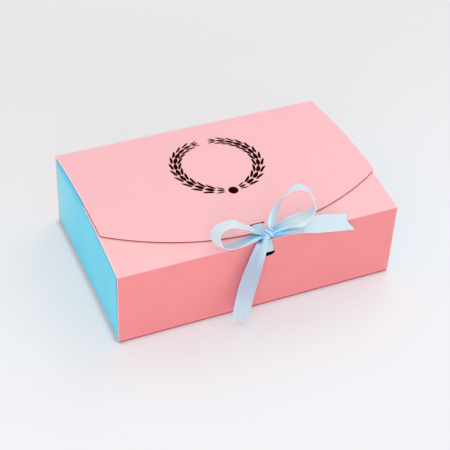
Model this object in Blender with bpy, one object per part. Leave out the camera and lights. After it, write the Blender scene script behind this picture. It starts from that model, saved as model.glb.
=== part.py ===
import math

import bmesh
import bpy
import numpy as np

# A long card gift box: x runs along it, y from front to back, z up, and the origin is under its middle.
# Lengths are in metres. Names ending in share or shares hold parts of a length.
box_length = 0.240
box_depth = 0.160
box_height = 0.070
card = 0.0005
gap = 0.0003
ribbon_width = 0.015
ribbon_thickness = 0.00025

# The folded cover: the lid lies over the front flap, and both bulge upwards.
arch_rise = 0.0052
layer_gap = 0.0009
flap_edge_y = 0.004
flap_corner_radius = 0.0015
lid_tip_inset = 0.0094
lid_side_inset = 0.0448
lid_corner_radius = 0.004
lid_skew_share = 0.016
lid_turn_share = 0.0055

# Openings for the ribbon: a slit through lid and flap, an oval in the front wall and a larger one in the tray.
slot_x = 0.0024
slot_setback = 0.017
slot_length = 0.0128
slot_width = 0.0012
flap_slot_extra = 0.0004
hole_x = 0.0035
hole_drop = 0.0144
hole_length = 0.016
hole_height = 0.0062
tray_hole_extra = 0.002

# The tray that slides inside the cover.
tray_end_inset = 0.0006
tray_side_inset = 0.0015
tray_top_drop = 0.0014
corner_tab_length = 0.032
corner_tab_slope = 0.004
end_lean = 0.0005
end_bow = 0.0034
lock_share = 0.42
lock_width = 0.012
lock_taper = 0.002
lock_rise = 0.0001

# The bow.
knot_x = 0.0043
knot_y_inset = 0.0015
knot_lift = 0.0054
knot_half_width = 0.0033
knot_half_depth = 0.0038
knot_half_height = 0.0039
pleat_depth = 0.00022
left_loop_reach = 0.045
right_loop_reach = 0.045
right_tail_reach = 0.071
tail_notch = 0.0055
tail_hinge_drop = 0.0029
tail_hinge_out = 0.003

half_length = box_length / 2
half_depth = box_depth / 2
crease_y = half_depth - card
crease_z = box_height - card
panel_start_y = crease_y - card - gap
slot_y = -(half_depth - slot_setback)
hole_z = box_height - hole_drop
knot = np.array([knot_x, -(half_depth - knot_y_inset), box_height + knot_lift])

pink = (0.90, 0.40, 0.42, 1.0)
deep_pink = (0.83, 0.27, 0.29, 1.0)
blue = (0.20, 0.64, 0.82, 1.0)
white = (0.86, 0.87, 0.88, 1.0)
satin = (0.48, 0.70, 0.83, 1.0)

# Each strand starts at shares of the knot's half sizes. Its stations are shares of its reach along x, y and z,
# then the ribbon's way across as shares of its width.
left_loop_start_shares = (-1.05, 0.0, 0.57)
left_loop_shares = (
    (0.0, 0.0, 0.0, 0.09, 0.35, -0.01),
    (-0.063, 0.0, 0.031, 0.11, 0.39, -0.01),
    (-0.213, 0.044, 0.137, 0.18, 0.64, -0.04),
    (-0.338, 0.089, 0.216, 0.18, 0.97, -0.17),
    (-0.503, 0.122, 0.271, 0.06, 0.97, -0.22),
    (-0.679, 0.122, 0.271, -0.13, 0.94, -0.31),
    (-0.839, 0.067, 0.248, -0.32, 0.83, -0.46),
    (-0.913, -0.011, 0.193, -0.24, 0.74, -0.63),
    (-0.913, -0.078, 0.108, -0.1, 0.83, -0.55),
    (-0.853, -0.118, 0.023, -0.1, 0.87, -0.48),
    (-0.716, -0.127, -0.024, -0.05, 0.89, -0.46),
    (-0.538, -0.122, -0.022, -0.02, 0.89, -0.46),
    (-0.345, -0.104, 0.004, -0.05, 0.76, -0.41),
    (-0.183, -0.072, 0.007, -0.09, 0.54, -0.25),
    (-0.073, -0.042, -0.014, -0.07, 0.31, -0.1),
    (0.0, -0.027, -0.039, -0.05, 0.27, -0.07),
)
right_loop_start_shares = (1.05, -0.32, 0.3)
right_loop_shares = (
    (0.0, 0.0, 0.0, -0.04, -0.38, 0.06),
    (0.058, -0.006, 0.046, -0.08, -0.45, 0.08),
    (0.202, -0.017, 0.121, -0.08, -0.85, 0.12),
    (0.464, -0.017, 0.189, 0.09, -0.99, -0.02),
    (0.689, 0.025, 0.232, 0.21, -0.94, 0.26),
    (0.813, 0.096, 0.31, 0.0, -0.78, 0.62),
    (0.837, 0.171, 0.418, -0.19, -0.84, 0.51),
    (0.778, 0.238, 0.53, -0.24, -0.87, 0.44),
    (0.67, 0.305, 0.59, -0.28, -0.85, 0.44),
    (0.532, 0.349, 0.586, -0.26, -0.86, 0.45),
    (0.392, 0.349, 0.516, -0.09, -0.88, 0.47),
    (0.245, 0.283, 0.407, 0.02, -0.87, 0.49),
    (0.129, 0.194, 0.251, 0.1, -0.81, 0.45),
    (0.028, 0.093, 0.124, 0.12, -0.48, 0.27),
    (0.0, 0.047, 0.04, 0.08, -0.34, 0.15),
)
right_tail_start_shares = (1.05, -0.22, -0.2)
right_tail_shares = (
    (0.0, 0.0, 0.0, -0.03, -0.4, 0.12),
    (0.137, -0.009, 0.023, -0.04, -0.78, 0.17),
    (0.306, -0.013, 0.025, -0.02, -1.0, 0.0),
    (0.502, -0.018, 0.01, -0.06, -0.96, -0.27),
    (0.7, -0.026, -0.018, -0.12, -0.93, -0.35),
    (0.951, -0.044, -0.068, -0.14, -0.91, -0.39),
)
front_tail_start_shares = (-1.17, -1.43, 0.0)
front_tail_shares = (
    (0.0, 0.0, 0.0, -0.34, -0.19, 0.12),
    (-0.055, -0.009, -0.136, -0.8, -0.19, 0.28),
    (-0.104, -0.027, -0.262, -0.93, -0.06, 0.36),
    (-0.157, -0.049, -0.403, -0.94, 0.13, 0.31),
    (-0.211, -0.073, -0.566, -0.95, 0.17, 0.25),
    (-0.257, -0.099, -0.753, -0.98, 0.09, 0.2),
    (-0.301, -0.134, -0.972, -0.98, 0.02, 0.19),
)
knot_profile_shares = (0.0, 0.74, 0.92, 0.98, 1.0, 0.98, 0.92, 0.74, 0.0)


def clear_scene():
    for item in list(bpy.data.objects):
        bpy.data.objects.remove(item, do_unlink=True)


def make_pivot(name, place, parent=None):
    pivot = bpy.data.objects.new(name, None)
    pivot["world"] = [float(value) for value in place]
    if parent is not None:
        pivot.parent = parent
        place = np.array(place) - np.array(parent["world"])
    pivot.location = place
    bpy.context.collection.objects.link(pivot)
    return pivot


def colour_piece(piece, colour, roughness):
    material = bpy.data.materials.new(piece.name)
    material.use_nodes = True
    shader = material.node_tree.nodes["Principled BSDF"]
    shader.inputs["Base Color"].default_value = colour
    shader.inputs["Roughness"].default_value = roughness
    piece.data.materials.append(material)


def add_piece(name, points, faces, colour, pivot=None, roughness=0.6):
    points = np.array(points, float)
    if pivot is not None:
        points = points - np.array(pivot["world"])
    mesh = bpy.data.meshes.new(name)
    mesh.from_pydata([tuple(point) for point in points], [], faces)
    shape = bmesh.new()
    shape.from_mesh(mesh)
    bmesh.ops.recalc_face_normals(shape, faces=shape.faces)
    shape.to_mesh(mesh)
    shape.free()
    piece = bpy.data.objects.new(name, mesh)
    piece.parent = pivot
    bpy.context.collection.objects.link(piece)
    colour_piece(piece, colour, roughness)
    return piece


def add_sheet(name, outer, inner, colour, pivot=None, roughness=0.6):
    """A folded sheet from two matching grids of points, closed by a rim between them."""
    outer = np.array(outer, float)
    inner = np.array(inner, float)
    rows, columns = outer.shape[:2]
    count = rows * columns
    faces = []
    for row in range(rows - 1):
        for column in range(columns - 1):
            first = row * columns + column
            corners = (first, first + 1, first + columns + 1, first + columns)
            faces.append(corners)
            faces.append(tuple(corner + count for corner in reversed(corners)))
    rim = [column for column in range(columns)]
    rim += [row * columns + columns - 1 for row in range(1, rows)]
    rim += [(rows - 1) * columns + column for column in range(columns - 2, -1, -1)]
    rim += [row * columns for row in range(rows - 2, 0, -1)]
    for first, second in zip(rim, rim[1:] + rim[:1]):
        faces.append((second, first, first + count, second + count))
    points = np.concatenate([outer.reshape(-1, 3), inner.reshape(-1, 3)])
    return add_piece(name, points, faces, colour, pivot, roughness)


def add_prism(name, outline, axis, low, high, colour, pivot=None):
    """An outline in the two other axes, carried along one axis from low to high."""
    others = [index for index in range(3) if index != axis]
    points = np.zeros((2 * len(outline), 3))
    points[:, others] = np.concatenate([outline, outline])
    points[: len(outline), axis] = low
    points[len(outline) :, axis] = high
    count = len(outline)
    faces = [tuple(range(count)), tuple(range(2 * count - 1, count - 1, -1))]
    for first in range(count):
        second = (first + 1) % count
        faces.append((first, first + count, second + count, second))
    return add_piece(name, points, faces, colour, pivot)


def add_box(name, low, high, colour, pivot=None):
    outline = [(low[0], low[1]), (high[0], low[1]), (high[0], high[1]), (low[0], high[1])]
    return add_prism(name, outline, 2, low[2], high[2], colour, pivot)


def cut(piece, cutter):
    cutter.hide_render = True
    cutter.display_type = "WIRE"
    modifier = piece.modifiers.new("opening", "BOOLEAN")
    modifier.operation = "DIFFERENCE"
    modifier.solver = "EXACT"
    modifier.object = cutter


def arc(middle, radius, start, end, steps):
    """Points of an arc in two axes; the angles are in degrees."""
    turns = np.radians(np.linspace(start, end, steps + 1))
    return [(middle[0] + radius * math.cos(turn), middle[1] + radius * math.sin(turn)) for turn in turns]


def smooth(rows, samples=4):
    """A Catmull-Rom curve through the rows."""
    rows = np.array(rows, float)
    ends = np.vstack([2 * rows[0] - rows[1], rows, 2 * rows[-1] - rows[-2]])
    curve = []
    for index in range(1, len(ends) - 2):
        before, first, second, after = ends[index - 1 : index + 3]
        for share in np.arange(samples) / samples:
            linear = (second - before) * share
            squared = (2 * before - 5 * first + 4 * second - after) * share**2
            cubed = (3 * first - before - 3 * second + after) * share**3
            curve.append((2 * first + linear + squared + cubed) / 2)
    curve.append(ends[-2])
    return np.array(curve)


def flap_height(y):
    return box_height + arch_rise * (1 - (y / half_depth) ** 2)


def lid_height(y):
    ramp = np.clip((half_depth - y) / (half_depth - flap_edge_y), 0.0, 1.0)
    return flap_height(y) + (card + layer_gap) * ramp * ramp * (3 - 2 * ramp)


def panel_columns(edge_radius, columns):
    """Places across a panel whose far corners are rounded, from left to right."""
    radius = lid_corner_radius
    inner = half_length - radius
    touch = edge_radius * inner / (edge_radius - radius)
    first = math.degrees(math.asin((touch - inner) / radius))
    corner = [place for place, _ in arc((inner, 0.0), radius, 90 - first, 0, 4)]
    middle = touch * np.linspace(-1, 1, columns + 1)[1:-1]
    return np.array([-place for place in reversed(corner)] + list(middle) + corner)


def panel_edge(x, edge_radius, tip_y):
    """Where a panel with a bulging far edge ends: an arc, with a small arc at each corner."""
    radius = lid_corner_radius
    inner = half_length - radius
    centre = tip_y + edge_radius
    touch = edge_radius * inner / (edge_radius - radius)
    corner_y = centre - math.sqrt((edge_radius - radius) ** 2 - inner**2)
    beyond = np.clip(np.abs(x) - inner, 0.0, radius)
    round_y = corner_y - np.sqrt(radius**2 - beyond**2)
    bulge_y = centre - np.sqrt(edge_radius**2 - x**2)
    return np.where(np.abs(x) > touch, round_y, bulge_y)


def add_panel(name, x, edge_y, height, skew, start_y, rows, colour, pivot):
    """An arched panel from its crease to its free edge."""
    shares = np.linspace(0, 1, rows + 1)[:, None]
    y = start_y + (edge_y - start_y)[None, :] * shares
    across = x[None, :] + skew * (half_depth - y)
    outer = np.stack([across, y, height(y)], axis=2)
    inner = outer - np.array([0.0, 0.0, card])
    return add_sheet(name, outer, inner, colour, pivot)


def cut_hole(wall, name, wall_y, extra):
    """An oval through a wall whose outer side is at wall_y."""
    turns = np.radians(np.arange(0, 360, 12))
    across = hole_x + (hole_length / 2 + extra) * np.cos(turns)
    upward = hole_z + (hole_height / 2 + extra) * np.sin(turns)
    oval = list(zip(across, upward))
    cut(wall, add_prism(name, oval, 1, wall_y - card, wall_y + 2 * card, pink))


def add_cover():
    for name, side in (("cover_front_wall", -1), ("cover_back_wall", 1)):
        bead = arc((0.0, 0.0), card, -90, 180, 12)
        outline = [(side * half_depth, 0.0), (side * crease_y, 0.0)]
        outline += [(side * (crease_y - inward), crease_z + upward) for inward, upward in bead]
        wall = add_prism(name, outline, 0, -half_length, half_length, deep_pink)
        if side < 0:
            cut_hole(wall, "cutter_hole", -half_depth, 0.0)
    bottom_y = crease_y - gap
    add_box("cover_bottom", (-half_length, -bottom_y, 0.0), (half_length, bottom_y, card), deep_pink)


def slot_cutter(name, extra):
    reach_x = slot_length / 2 + extra
    reach_y = (slot_width + extra) / 2
    low = (slot_x - reach_x, slot_y - reach_y, crease_z)
    high = (slot_x + reach_x, slot_y + reach_y, box_height + 2 * arch_rise)
    return add_box(name, low, high, pink)


def add_lid(pivot):
    bulge = lid_side_inset - lid_tip_inset
    edge_radius = (half_length**2 + bulge**2) / (2 * bulge)
    x = panel_columns(edge_radius, 24)
    edge_y = panel_edge(x, edge_radius, lid_tip_inset - half_depth) + lid_turn_share * x
    lid = add_panel("lid", x, edge_y, lid_height, lid_skew_share, panel_start_y, 15, pink, pivot)
    cut(lid, slot_cutter("cutter_lid_slot", 0.0))


def add_flap(pivot):
    radius = flap_corner_radius
    corner = [place for place, _ in arc((half_length - radius, 0.0), radius, 90, 0, 4)]
    x = np.array([-place for place in reversed(corner)] + corner)
    beyond = np.abs(x) - half_length + radius
    edge_y = flap_edge_y - radius + np.sqrt(radius**2 - beyond**2)
    flap = add_panel("front_flap", x, edge_y, flap_height, 0.0, -panel_start_y, 9, pink, pivot)
    cut(flap, slot_cutter("cutter_flap_slot", flap_slot_extra))


def add_tray(pivot):
    bottom_z = card + gap
    top_z = box_height - tray_top_drop
    wall_height = top_z - bottom_z
    half_x = half_length - tray_end_inset
    wall_y = half_depth - tray_side_inset
    inside_y = wall_y - card
    base_top = bottom_z + card
    base_x = half_x - card - gap
    base_y = inside_y - gap
    rolled = 3 * card + 2 * gap
    lock_y = lock_share * half_depth
    notch_x = half_x - rolled - gap

    outline = []
    for side in (1, -1):
        outline.append((side * base_x, -side * base_y))
        for middle in (-side * lock_y, side * lock_y):
            near = middle - side * (lock_width / 2 + gap)
            far = middle + side * (lock_width / 2 + gap)
            outline += [(side * base_x, near), (side * notch_x, near), (side * notch_x, far), (side * base_x, far)]
        outline.append((side * base_x, side * base_y))
    add_prism("tray_base", outline, 2, bottom_z, base_top, white, pivot)

    wall_x = half_x - card - end_lean - gap
    for name, side in (("tray_front_wall", -1), ("tray_back_wall", 1)):
        low = (-wall_x, min(side * wall_y, side * inside_y), bottom_z)
        high = (wall_x, max(side * wall_y, side * inside_y), top_z)
        wall = add_box(name, low, high, white, pivot)
        if side < 0:
            cut_hole(wall, "cutter_tray_hole", -wall_y, tray_hole_extra)

    def end_point(side, inward, height, y):
        bow = end_lean + (end_bow - end_lean) * (1 - (y / wall_y) ** 2)
        lean = bow * height / wall_height
        return (side * (half_x - inward - lean), y, bottom_z + height)

    full = wall_y
    short = inside_y - gap
    locks = []
    for middle in (-lock_y, lock_y):
        reach = lock_width / 2
        locks += [middle - reach, middle - reach + lock_taper, middle + reach - lock_taper, middle + reach]
    stations = sorted(list(np.linspace(-1, 1, 9) * short) + locks)
    free_height = card + gap
    lock_height = lock_rise
    for name, side in (("tray_left_end", -1), ("tray_right_end", 1)):
        outer = []
        inner = []
        for y in stations:
            far_y = y * full / short
            in_lock = any(abs(y - middle) < lock_width / 2 - lock_taper / 2 for middle in (-lock_y, lock_y))
            foot = lock_height if in_lock else free_height
            chain = (
                (0.0, card, 0.0, 0.0, far_y),
                (0.0, card, wall_height / 2, wall_height / 2, far_y),
                (0.0, card, wall_height, wall_height - card, far_y),
                (card + gap, card + gap, wall_height, wall_height - card, y),
                (rolled, rolled - card, wall_height, wall_height - card, y),
                (rolled, rolled - card, wall_height / 2, wall_height / 2, y),
                (rolled, rolled - card, free_height + lock_taper, free_height + lock_taper, y),
                (rolled, rolled - card, foot, foot, y),
            )
            outer.append([end_point(side, a, upper, place) for a, b, upper, lower, place in chain])
            inner.append([end_point(side, b, lower, place) for a, b, upper, lower, place in chain])
        add_sheet(name, outer, inner, blue, pivot)

    tab_top = wall_height - card - gap
    for end_name, side in (("left", -1), ("right", 1)):
        for wall_name, front in (("front", -1), ("back", 1)):
            outer = []
            inner = []
            start_y = front * (inside_y - gap)
            for share in np.linspace(0, 1, 5):
                y = start_y - front * corner_tab_length * share
                top = tab_top - corner_tab_slope * share
                heights = (card + gap, top / 2, top)
                outer.append([end_point(side, card + gap, height, y) for height in heights])
                inner.append([end_point(side, 2 * card + gap, height, y) for height in heights])
            add_sheet(f"tray_corner_tab_{end_name}_{wall_name}", outer, inner, white, pivot)


def add_ribbon(name, middle, across, pivot=None, notch=0.0):
    """A flat strip along a curve, with a swallowtail at its far end where notch isn't zero."""
    middle = np.array(middle, float)
    across = np.array(across, float)
    along = np.gradient(middle, axis=0)
    along /= np.linalg.norm(along, axis=1)[:, None]
    facing = np.cross(along, across)
    facing /= np.linalg.norm(facing, axis=1)[:, None]
    steps = np.linalg.norm(np.diff(middle, axis=0), axis=1)
    run = np.concatenate([[0.0], np.cumsum(steps)])
    held = run
    if notch:
        near_end = np.clip((run - run[-1]) / (2 * notch) + 1, 0.0, 1.0)
        held = run - notch * near_end
    core = np.stack([np.interp(held, run, middle[:, axis]) for axis in range(3)], axis=1)
    outer = np.stack([middle - across / 2, core, middle + across / 2], axis=1)
    lift = facing[:, None, :] * ribbon_thickness / 2
    return add_sheet(name, outer + lift, outer - lift, satin, pivot, 0.35)


def add_strand(name, reach, start_shares, shares, pivot, notch=0.0):
    curve = smooth(shares)
    start = knot + np.array(start_shares) * (knot_half_width, knot_half_depth, knot_half_height)
    middle = start + reach * curve[:, :3]
    add_ribbon(name, middle, ribbon_width * curve[:, 3:], pivot, notch)


def add_path(name, points, places, shares, pivot=None):
    """A strip whose path runs in the y and z plane, with its place across and its width at each point."""
    steps = np.linalg.norm(np.diff(points, axis=0), axis=1)
    run = np.concatenate([[0.0], np.cumsum(steps)]) / np.sum(steps)
    x = np.interp(run, np.linspace(0, 1, len(places)), places)
    width = ribbon_width * np.interp(run, np.linspace(0, 1, len(shares)), shares)
    middle = np.column_stack([x, points])
    across = np.column_stack([width, np.zeros(len(run)), np.zeros(len(run))])
    add_ribbon(name, middle, across, pivot)


def add_knot(pivot):
    points = []
    around = 24
    for row, share in enumerate(knot_profile_shares):
        if share == 0.0:
            continue
        x = -math.cos(math.pi * row / (len(knot_profile_shares) - 1)) * knot_half_width
        for turn in np.radians(np.arange(around) * 360 / around):
            pleat = 1 - pleat_depth / knot_half_height * (1 + math.cos(8 * turn + row)) / 2
            y = share * pleat * knot_half_depth * math.cos(turn)
            z = share * pleat * knot_half_height * math.sin(turn)
            points.append(knot + np.array([x, y, z]))
    rings = len(points) // around
    faces = [tuple(range(around)), tuple(range(len(points) - around, len(points)))]
    for ring in range(rings - 1):
        for first in range(around):
            second = (first + 1) % around
            low = ring * around
            faces.append((low + first, low + second, low + around + second, low + around + first))
    add_piece("ribbon_knot", points, faces, satin, pivot, 0.35)


def add_inner_run():
    """From under the lid's slit over the tray's wall, down, out through the oval hole and up to the knot."""
    wall_y = half_depth - tray_side_inset
    top_z = box_height - tray_top_drop
    turn_radius = (crease_y - wall_y) / 2
    down_y = wall_y + turn_radius
    up_y = half_depth + turn_radius
    fold_radius = (up_y - down_y) / 2
    fold_z = hole_z + hole_height / 2 - card - gap - fold_radius / 2
    start_z = flap_height(slot_y) - 2 * card - gap - ribbon_thickness
    points = [(slot_y, start_z)]
    bend = arc((-wall_y, top_z), turn_radius, 90, 180, 6)
    for share in (0.25, 0.5, 0.75):
        y = slot_y + (bend[0][0] - slot_y) * share
        points.append((y, start_z + (bend[0][1] - start_z) * (share * share * (3 - 2 * share))))
    points += bend
    points += [(-down_y, top_z + (fold_z - top_z) * share) for share in (0.33, 0.66)]
    points += arc((-(down_y + up_y) / 2, fold_z), fold_radius, 0, -180, 8)
    end_z = knot[2] - knot_half_height
    rise = end_z - fold_z
    points += [(-up_y - turn_radius * share**3, fold_z + rise * share) for share in (0.3, 0.6, 0.8, 1.0)]
    places = (slot_x, slot_x, hole_x, hole_x, knot_x)
    shares = (0.85, 0.85, 0.8, 0.66, 0.3)
    add_path("ribbon_inner_run", np.array(points), places, shares)


def add_lid_strand(pivot):
    """From behind the knot over the lid's edge and down through its slit."""
    corner_y = slot_y - slot_width / 2
    corner_z = lid_height(slot_y)
    start_y = knot[1] + knot_half_depth + gap
    start_z = knot[2] - knot_half_height / 4
    bend = arc((corner_y, corner_z), slot_width / 2, 90, 0, 5)
    points = [(start_y, start_z)]
    for share in (0.25, 0.5, 0.75):
        y = start_y + (bend[0][0] - start_y) * share
        points.append((y, start_z + (bend[0][1] - start_z) * share * (2 - share)))
    points += bend
    end_z = flap_height(slot_y) - 2 * card
    points += [(slot_y, corner_z + (end_z - corner_z) * share) for share in (0.5, 1.0)]
    places = (knot_x, (knot_x + slot_x) / 2, (knot_x + slot_x) / 2, slot_x)
    shares = (0.3, 0.5, 0.62, 0.66)
    add_path("ribbon_lid_strand", np.array(points), places, shares, pivot)


clear_scene()
lid_hinge = make_pivot("lid_hinge", (0.0, crease_y, crease_z))
flap_hinge = make_pivot("flap_hinge", (0.0, -crease_y, crease_z))
tray_slide = make_pivot("tray_slide", (0.0, 0.0, card + gap))
tail_place = knot - np.array([0.0, tail_hinge_out, tail_hinge_drop])
tail_hinge = make_pivot("tail_hinge", tail_place, lid_hinge)

add_cover()
add_lid(lid_hinge)
add_flap(flap_hinge)
add_tray(tray_slide)
add_knot(lid_hinge)
add_lid_strand(lid_hinge)
add_inner_run()
add_strand("ribbon_left_loop", left_loop_reach, left_loop_start_shares, left_loop_shares, lid_hinge)
add_strand("ribbon_right_loop", right_loop_reach, right_loop_start_shares, right_loop_shares, lid_hinge)
add_strand("ribbon_right_tail", right_tail_reach, right_tail_start_shares, right_tail_shares, lid_hinge, tail_notch)
add_strand("ribbon_front_tail", knot[2], front_tail_start_shares, front_tail_shares, tail_hinge, tail_notch)
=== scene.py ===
import math

import bmesh
import bpy
import numpy as np
from mathutils import Matrix


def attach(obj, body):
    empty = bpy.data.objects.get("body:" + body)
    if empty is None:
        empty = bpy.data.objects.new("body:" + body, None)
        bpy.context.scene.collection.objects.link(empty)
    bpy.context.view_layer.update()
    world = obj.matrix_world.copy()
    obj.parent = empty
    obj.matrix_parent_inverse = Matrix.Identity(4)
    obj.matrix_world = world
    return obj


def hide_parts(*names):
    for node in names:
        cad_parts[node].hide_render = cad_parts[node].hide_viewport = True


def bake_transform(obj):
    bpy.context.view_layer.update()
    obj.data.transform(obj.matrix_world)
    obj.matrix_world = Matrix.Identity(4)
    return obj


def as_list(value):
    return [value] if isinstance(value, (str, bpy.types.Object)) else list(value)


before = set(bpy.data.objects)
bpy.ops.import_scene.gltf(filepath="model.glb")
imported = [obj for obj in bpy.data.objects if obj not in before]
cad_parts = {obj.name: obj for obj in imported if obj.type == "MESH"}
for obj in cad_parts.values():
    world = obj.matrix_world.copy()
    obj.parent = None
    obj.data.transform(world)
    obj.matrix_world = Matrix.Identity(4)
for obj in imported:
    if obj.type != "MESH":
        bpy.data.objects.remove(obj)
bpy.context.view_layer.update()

# Sizes are in metres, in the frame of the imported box: x along it, y from front to back, z up.
box = {
    "length": 0.240,
    "depth": 0.160,
    "height": 0.070,
    "card": 0.0005,
    "gap": 0.0003,
    "archRise": 0.0052,      # how far lid and flap bulge upwards
    "layerGap": 0.0009,      # air between the lid and the flap under it
    "flapEdge": 0.004,       # y of the flap's free edge
    "flapRadius": 0.0015,
    "lidTipInset": 0.0094,
    "lidSideInset": 0.0448,
    "lidRadius": 0.004,
    "lidSkew": 0.016,        # the lid sits a little askew
    "lidTurn": 0.0055,
    "slitX": 0.0024,
    "slitSetback": 0.017,
    "slitLength": 0.0128,
    "slitWidth": 0.0012,
    "holeX": 0.0035,
    "holeDrop": 0.0144,
    "holeLength": 0.016,
    "holeHeight": 0.0062,
}
card, gap = box["card"], box["gap"]
halfLength = box["length"] / 2
halfDepth = box["depth"] / 2
creaseY = halfDepth - card
creaseZ = box["height"] - card
panelStart = creaseY - card - gap
slitY = box["slitSetback"] - halfDepth
holeZ = box["height"] - box["holeDrop"]


# Small helpers for node trees. A socket knows its own tree, so sums are written without it.
def setInputs(node, inputs):
    for key, value in inputs.items():
        if isinstance(value, bpy.types.NodeSocket):
            node.id_data.links.new(value, node.inputs[key])
        else:
            node.inputs[key].default_value = value


def addNode(tree, kind, inputs=None, **settings):
    made = tree.nodes.new(kind)
    for key, value in settings.items():
        setattr(made, key, value)
    setInputs(made, inputs or {})
    return made


def shaderNode(tree, kind, inputs=None, **settings):
    return addNode(tree, "ShaderNode" + kind, inputs, **settings)


def calc(operation, *values):
    tree = next(value.id_data for value in values if isinstance(value, bpy.types.NodeSocket))
    return shaderNode(tree, "Math", dict(enumerate(values)), operation=operation).outputs[0]


def plus(first, second):
    return calc("ADD", first, second)


def minus(first, second):
    return calc("SUBTRACT", first, second)


def times(first, second, added=0.0):
    return calc("MULTIPLY_ADD", first, second, added)


def calcVector(operation, first, second, output="Vector"):
    return shaderNode(first.id_data, "VectorMath", {0: first, 1: second}, operation=operation).outputs[output]


def ramp(value, low, high, start=0.0, end=1.0):
    # A smooth step from start to end while value goes from low to high.
    inputs = {"Value": value, "From Min": low, "From Max": high, "To Min": start, "To Max": end}
    return shaderNode(value.id_data, "MapRange", inputs, interpolation_type="SMOOTHSTEP").outputs["Result"]


def blend(factor, first, second):
    return shaderNode(factor.id_data, "Mix", {0: factor, 6: first, 7: second}, data_type="RGBA").outputs[2]


def noise(place, scale, detail=2.0, distortion=0.0):
    inputs = {"Vector": place, "Scale": scale, "Detail": detail, "Distortion": distortion}
    return shaderNode(place.id_data, "TexNoise", inputs).outputs["Fac"]


def openness(tree, reach, samples=12):
    # 1 where nothing is near, and less in narrow gaps.
    return shaderNode(tree, "AmbientOcclusion", {"Distance": reach}, samples=samples).outputs["AO"]


def bump(height, strength, distance):
    inputs = {"Height": height, "Strength": strength, "Distance": distance}
    return shaderNode(height.id_data, "Bump", inputs).outputs["Normal"]


def split(vector):
    return list(shaderNode(vector.id_data, "SeparateXYZ", {"Vector": vector}).outputs)


def combine(tree, **inputs):
    return shaderNode(tree, "CombineXYZ", inputs).outputs[0]


def objectPlace(tree):
    # The place on the object, whole and then as x, y and z.
    place = shaderNode(tree, "TexCoord").outputs["Object"]
    return place, *split(place)


def newGroup(name, inputs, outputs):
    # inputs: a default for each number, None for a vector. outputs: names of numbers.
    tree = bpy.data.node_groups.new(name, "ShaderNodeTree")
    for label, default in inputs.items():
        kind = "NodeSocketVector" if default is None else "NodeSocketFloat"
        socket = tree.interface.new_socket(label, in_out="INPUT", socket_type=kind)
        if default is not None:
            socket.default_value = default
    for label in outputs:
        tree.interface.new_socket(label, in_out="OUTPUT", socket_type="NodeSocketFloat")
    return tree, addNode(tree, "NodeGroupInput").outputs, addNode(tree, "NodeGroupOutput")


def useGroup(tree, group, inputs):
    return shaderNode(tree, "Group", inputs, node_tree=group).outputs


def newMaterial(name):
    material = bpy.data.materials.new(name)
    material.use_nodes = True
    tree = material.node_tree
    return material, tree, tree.nodes["Principled BSDF"]


# Card grain: soft mottling of the print, and fine fibres under it.
def makeCardGrain():
    inputs = {"Vector": None, "Mottle Scale": 45.0, "Fibre Scale": 900.0, "Amount": 1.0}
    tree, given, out = newGroup("cardGrain", inputs, ("Tone", "Height", "Roughness"))
    place, fibreScale = given["Vector"], given["Fibre Scale"]
    mottle = noise(place, given["Mottle Scale"], 3.0)
    fibre = noise(place, fibreScale, 4.0, 0.6)
    speck = shaderNode(tree, "TexVoronoi", {"Vector": place, "Scale": fibreScale}).outputs["Distance"]
    both = times(minus(mottle, 0.5), 0.8, times(minus(fibre, 0.5), 0.35))
    tone = times(both, given["Amount"], 0.5)
    setInputs(out, {"Tone": tone, "Height": times(speck, 0.25, fibre), "Roughness": times(both, 0.25, 0.55)})
    return tree


# Crease wear: a broken pale line where the card is folded, for a distance measured from the fold.
def makeCreaseWear():
    inputs = {"Vector": None, "Distance": 1.0, "Width": 0.0012, "Amount": 0.5}
    tree, given, out = newGroup("creaseWear", inputs, ["Mask"])
    broken = ramp(noise(given["Vector"], 260.0, 5.0), 0.35, 0.7, 0.35, 1.0)
    near = ramp(given["Distance"], 0.0, given["Width"], 1.0, 0.0)
    setInputs(out, {"Mask": times(times(near, broken), given["Amount"])})
    return tree


# Satin weave: long floats along the ribbon, fine ribs across it and a woven selvedge. The map is in metres.
def makeSatinWeave():
    inputs = {"Map": None, "Half Width": 0.0075, "Thread": 0.00022}
    tree, given, out = newGroup("satinWeave", inputs, ("Tone", "Height", "Selvedge"))
    across, along, _ = split(given["Map"])
    turn = calc("DIVIDE", 2 * math.pi, given["Thread"])
    warp = calc("SINE", times(across, turn))
    weft = calc("SINE", times(times(across, 0.4, along), turn))
    selvedge = ramp(calc("DIVIDE", calc("ABSOLUTE", across), given["Half Width"]), 0.86, 0.93)
    threads = times(warp, 0.6, times(weft, 0.4))
    stretched = shaderNode(tree, "Mapping", {"Vector": given["Map"], "Scale": (5200.0, 160.0, 1.0)}).outputs[0]
    slub = noise(stretched, 1.0, 3.0)
    setInputs(out, {"Tone": slub, "Height": times(selvedge, 1.5, threads), "Selvedge": selvedge})
    return tree


cardGrain = makeCardGrain()
creaseWear = makeCreaseWear()
satinWeave = makeSatinWeave()
print("shader groups are built")

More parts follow.
